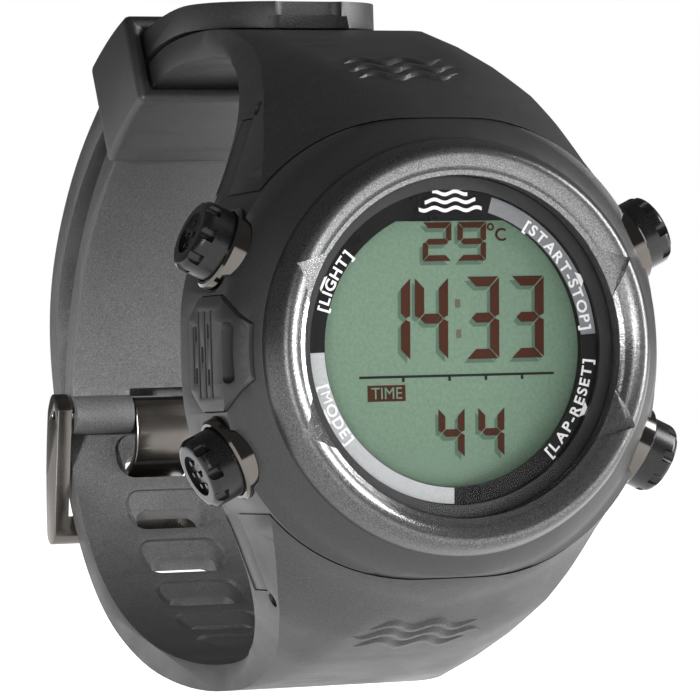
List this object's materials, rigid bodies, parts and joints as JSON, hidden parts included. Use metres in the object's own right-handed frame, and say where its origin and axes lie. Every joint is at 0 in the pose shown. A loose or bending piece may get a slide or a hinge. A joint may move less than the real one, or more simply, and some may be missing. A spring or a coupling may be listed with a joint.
{
  "type": "dive computer",
  "caption": "Wrist dive computer: round segmented display in a rounded case, side pushers, pressure port, tapering rubber strap with pin buckle and keeper.",
  "frame": {"origin": "centre of the case back's outer face, where the watch rests on the wrist", "axes": "+Y out of the case back towards the wrist, +Z to twelve o'clock, +X to three o'clock; the dial faces -Y"},
  "size_m": [0.0564, 0.1031, 0.0784],
  "materials": {
    "case_plastic": "fine grained",
    "bezel_metal": "satin gunmetal",
    "glass": "clear, polished",
    "rubber": "smooth",
    "dial_black": "semi-gloss, printed",
    "lcd_glass": "green reflective display",
    "backlight": "diffusing",
    "zebra_rubber": "striped elastomer",
    "module_plastic": "moulded",
    "board_green": "solder resist",
    "battery_steel": "satin",
    "brass_disc": "plain",
    "back_steel": "brushed",
    "button_black": "glossy",
    "collar_chrome": "dark polished",
    "spring_steel": "drawn wire",
    "gunmetal": "polished dark gunmetal",
    "strap_rubber": "fine grained"
  },
  "bodies": {
    "watch": {"case_body": "case_plastic", "bezel": "bezel_metal", "crystal": "glass", "crystal_gasket": "rubber", "dial_ring": "dial_black", "lcd_panel": "lcd_glass", "backlight_panel": "backlight", "zebra_connectors": "zebra_rubber", "module_frame": "module_plastic", "circuit_board": "board_green", "battery": "battery_steel", "battery_clip": "battery_steel", "buzzer": "brass_disc", "pressure_sensor": "battery_steel", "sensor_oring": "rubber", "sensor_grille": "case_plastic", "case_back": "back_steel", "case_back_gasket": "rubber", "case_back_screws": "back_steel", "light_collar": "collar_chrome", "light_spring": "spring_steel", "start_stop_collar": "collar_chrome", "start_stop_spring": "spring_steel", "mode_collar": "collar_chrome", "mode_spring": "spring_steel", "lap_reset_collar": "collar_chrome", "lap_reset_spring": "spring_steel", "strap_buckle_side": "strap_rubber", "strap_hole_side": "strap_rubber", "spring_bar_12": "spring_steel", "spring_bar_6": "spring_steel", "buckle_spring_bar": "spring_steel"},
    "light_pusher": {"light_button": "button_black", "light_seals": "rubber", "light_circlip": "spring_steel"},
    "start_stop_pusher": {"start_stop_button": "button_black", "start_stop_seals": "rubber", "start_stop_circlip": "spring_steel"},
    "mode_pusher": {"mode_button": "button_black", "mode_seals": "rubber", "mode_circlip": "spring_steel"},
    "lap_reset_pusher": {"lap_reset_button": "button_black", "lap_reset_seals": "rubber", "lap_reset_circlip": "spring_steel"},
    "buckle_frame": {"buckle_frame": "gunmetal"},
    "buckle_prong": {"buckle_prong": "gunmetal"},
    "keeper": {"keeper": "strap_rubber"}
  },
  "joints": [
    {"name": "light_press", "type": "slide", "parent": "watch", "child": "light_pusher", "axis": [0.9041, 0, -0.4274], "range_m": [0, 0.001], "stiffness_N_per_m": 1500, "springref_m": -0.0005, "deforming": ["light_spring"]},
    {"name": "start_stop_press", "type": "slide", "parent": "watch", "child": "start_stop_pusher", "axis": [-0.9041, 0, -0.4274], "range_m": [0, 0.001], "stiffness_N_per_m": 1500, "springref_m": -0.0005, "deforming": ["start_stop_spring"]},
    {"name": "mode_press", "type": "slide", "parent": "watch", "child": "mode_pusher", "axis": [0.9041, 0, 0.4274], "range_m": [0, 0.001], "stiffness_N_per_m": 1500, "springref_m": -0.0005, "deforming": ["mode_spring"]},
    {"name": "lap_reset_press", "type": "slide", "parent": "watch", "child": "lap_reset_pusher", "axis": [-0.9041, 0, 0.4274], "range_m": [0, 0.001], "stiffness_N_per_m": 1500, "springref_m": -0.0005, "deforming": ["lap_reset_spring"]},
    {"name": "buckle_swing", "type": "hinge", "parent": "watch", "child": "buckle_frame", "pos_m": [0, 0.0741, -0.0055], "axis": [1, 0, 0], "range_deg": [0, 5]},
    {"name": "prong_swing", "type": "hinge", "parent": "watch", "child": "buckle_prong", "pos_m": [0, 0.0741, -0.0055], "axis": [1, 0, 0], "range_deg": [0, 5]},
    {"name": "keeper_slide", "type": "slide", "parent": "watch", "child": "keeper", "axis": [0, 0.9063, -0.4226], "range_m": [-0.001, 0.001]}
  ],
  "couplings": [
    {"joint": "prong_swing", "follows": "buckle_swing", "ratio": 1}
  ]
}
